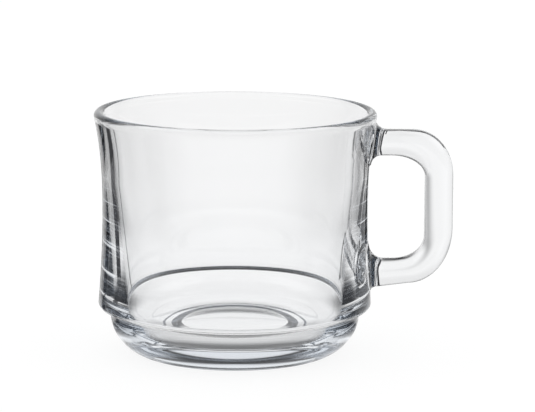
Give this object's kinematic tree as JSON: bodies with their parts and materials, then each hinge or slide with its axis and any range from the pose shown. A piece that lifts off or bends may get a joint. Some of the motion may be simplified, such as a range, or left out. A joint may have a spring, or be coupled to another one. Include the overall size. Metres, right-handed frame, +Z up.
{
  "type": "tea glass",
  "caption": "Clear pressed-glass tea cup with a waisted wall, a stepped stacking foot and a squared loop handle, for hot drinks.",
  "frame": {"origin": "middle of the whole outline, on the surface that the glass stands on", "axes": "+X from the bowl towards the handle, +Z up along the bowl's axis"},
  "size_m": [0.1094, 0.086, 0.075],
  "materials": {
    "clear_glass": "fire-polished pressed glass, clear with a faint cool tint"
  },
  "bodies": {
    "root": {"foot": "clear_glass", "heel_ring": "clear_glass", "bowl_wall": "clear_glass", "lip_ring": "clear_glass", "upper_handle_arm": "clear_glass", "lower_handle_arm": "clear_glass", "handle_grip": "clear_glass"}
  },
  "joints": []
}
